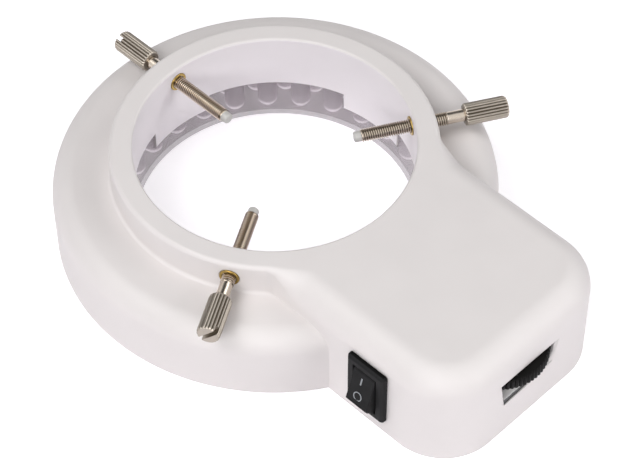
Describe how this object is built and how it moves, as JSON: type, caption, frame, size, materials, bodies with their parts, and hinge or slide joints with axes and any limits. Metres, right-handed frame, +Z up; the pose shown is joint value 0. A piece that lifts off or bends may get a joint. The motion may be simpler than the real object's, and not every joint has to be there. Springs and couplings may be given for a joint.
{
  "type": "microscope led lamp",
  "caption": "Ring lamp for a stereo microscope: a collar clamped by radial thumb screws, a light ring below it and a control box with rocker switch and dimmer wheel.",
  "frame": {"origin": "on the axis of the bore, in the plane of the bottom rim that the lamp stands on", "axes": "+Z up along the bore's axis; the control box points to -Y; the rocker switch is on the box's -X side and the power socket on its +X side"},
  "size_m": [0.0972, 0.1256, 0.025],
  "materials": {
    "white_abs": "satin moulded ABS",
    "clear_polycarbonate": "clear moulded polycarbonate",
    "white_board": "white solder mask on laminate",
    "led_epoxy": "water-clear epoxy",
    "nickel_plate": "bright nickel plate",
    "brass": "turned brass",
    "nylon": "natural nylon",
    "black_plastic": "fine moulded texture",
    "zinc_steel": "zinc plate",
    "tinned_brass": "tin plate",
    "can_sleeve": "shrunk sleeve",
    "ferrite": "sintered",
    "resistor_body": "lacquer",
    "red_lead": "extruded insulation",
    "black_lead": "extruded insulation"
  },
  "bodies": {
    "housing": {"upper_housing": "white_abs", "base_cover": "white_abs", "lens_ring": "clear_polycarbonate", "led_board": "white_board", "led_row_inner": "led_epoxy", "led_row_outer": "led_epoxy", "control_board": "white_board", "potentiometer": "black_plastic", "power_socket": "black_plastic", "socket_pin": "nickel_plate", "capacitor": "can_sleeve", "inductor": "ferrite", "driver_chip": "black_plastic", "resistor": "resistor_body", "switch_frame": "black_plastic", "switch_terminal_1": "tinned_brass", "switch_terminal_2": "tinned_brass", "brass_insert_1": "brass", "brass_insert_2": "brass", "brass_insert_3": "brass", "cover_screw_1": "zinc_steel", "cover_screw_2": "zinc_steel", "cover_screw_3": "zinc_steel", "cover_screw_4": "zinc_steel", "board_screw_1": "zinc_steel", "board_screw_2": "zinc_steel", "board_screw_3": "zinc_steel", "led_board_screw_1": "zinc_steel", "led_board_screw_2": "zinc_steel", "led_board_screw_3": "zinc_steel", "led_board_screw_4": "zinc_steel", "switch_lead_1": "red_lead", "switch_lead_2": "red_lead", "light_lead_1": "red_lead", "light_lead_2": "black_lead"},
    "tip_1": {"nylon_tip_1": "nylon"},
    "screw_1": {"thumb_screw_1": "nickel_plate"},
    "tip_2": {"nylon_tip_2": "nylon"},
    "screw_2": {"thumb_screw_2": "nickel_plate"},
    "tip_3": {"nylon_tip_3": "nylon"},
    "screw_3": {"thumb_screw_3": "nickel_plate"},
    "paddle": {"switch_paddle": "black_plastic"},
    "dial": {"dimmer_wheel": "black_plastic", "wheel_screw": "zinc_steel"}
  },
  "joints": [
    {"name": "screw_travel_1", "type": "slide", "parent": "housing", "child": "tip_1", "axis": [0, -1, 0], "range_m": [-0.016, 0.003]},
    {"name": "screw_turn_1", "type": "hinge", "parent": "tip_1", "child": "screw_1", "pos_m": [0, 0.0392, 0.021], "axis": [0, -1, 0], "range_deg": [-11592, 2232]},
    {"name": "screw_travel_2", "type": "slide", "parent": "housing", "child": "tip_2", "axis": [-0.866, 0.5, 0], "range_m": [-0.0126, 0.0064]},
    {"name": "screw_turn_2", "type": "hinge", "parent": "tip_2", "child": "screw_2", "pos_m": [0.03689, -0.0213, 0.021], "axis": [-0.866, 0.5, 0], "range_deg": [-9144, 4680]},
    {"name": "screw_travel_3", "type": "slide", "parent": "housing", "child": "tip_3", "axis": [0.866, 0.5, 0], "range_m": [-0.0136, 0.0054]},
    {"name": "screw_turn_3", "type": "hinge", "parent": "tip_3", "child": "screw_3", "pos_m": [-0.03603, -0.0208, 0.021], "axis": [0.866, 0.5, 0], "range_deg": [-9864, 3960]},
    {"name": "switch_rock", "type": "hinge", "parent": "housing", "child": "paddle", "pos_m": [-0.02505, -0.0529, 0.0117], "axis": [0, -1, 0], "range_deg": [0, 34]},
    {"name": "dimmer_turn", "type": "hinge", "parent": "housing", "child": "dial", "pos_m": [-0.001, -0.06595, 0.013], "axis": [0, 0, 1], "range_deg": [-140, 140]}
  ],
  "couplings": [
    {"joint": "screw_turn_1", "follows": "screw_travel_1", "rad_per_m": 12566},
    {"joint": "screw_turn_2", "follows": "screw_travel_2", "rad_per_m": 12566},
    {"joint": "screw_turn_3", "follows": "screw_travel_3", "rad_per_m": 12566}
  ]
}
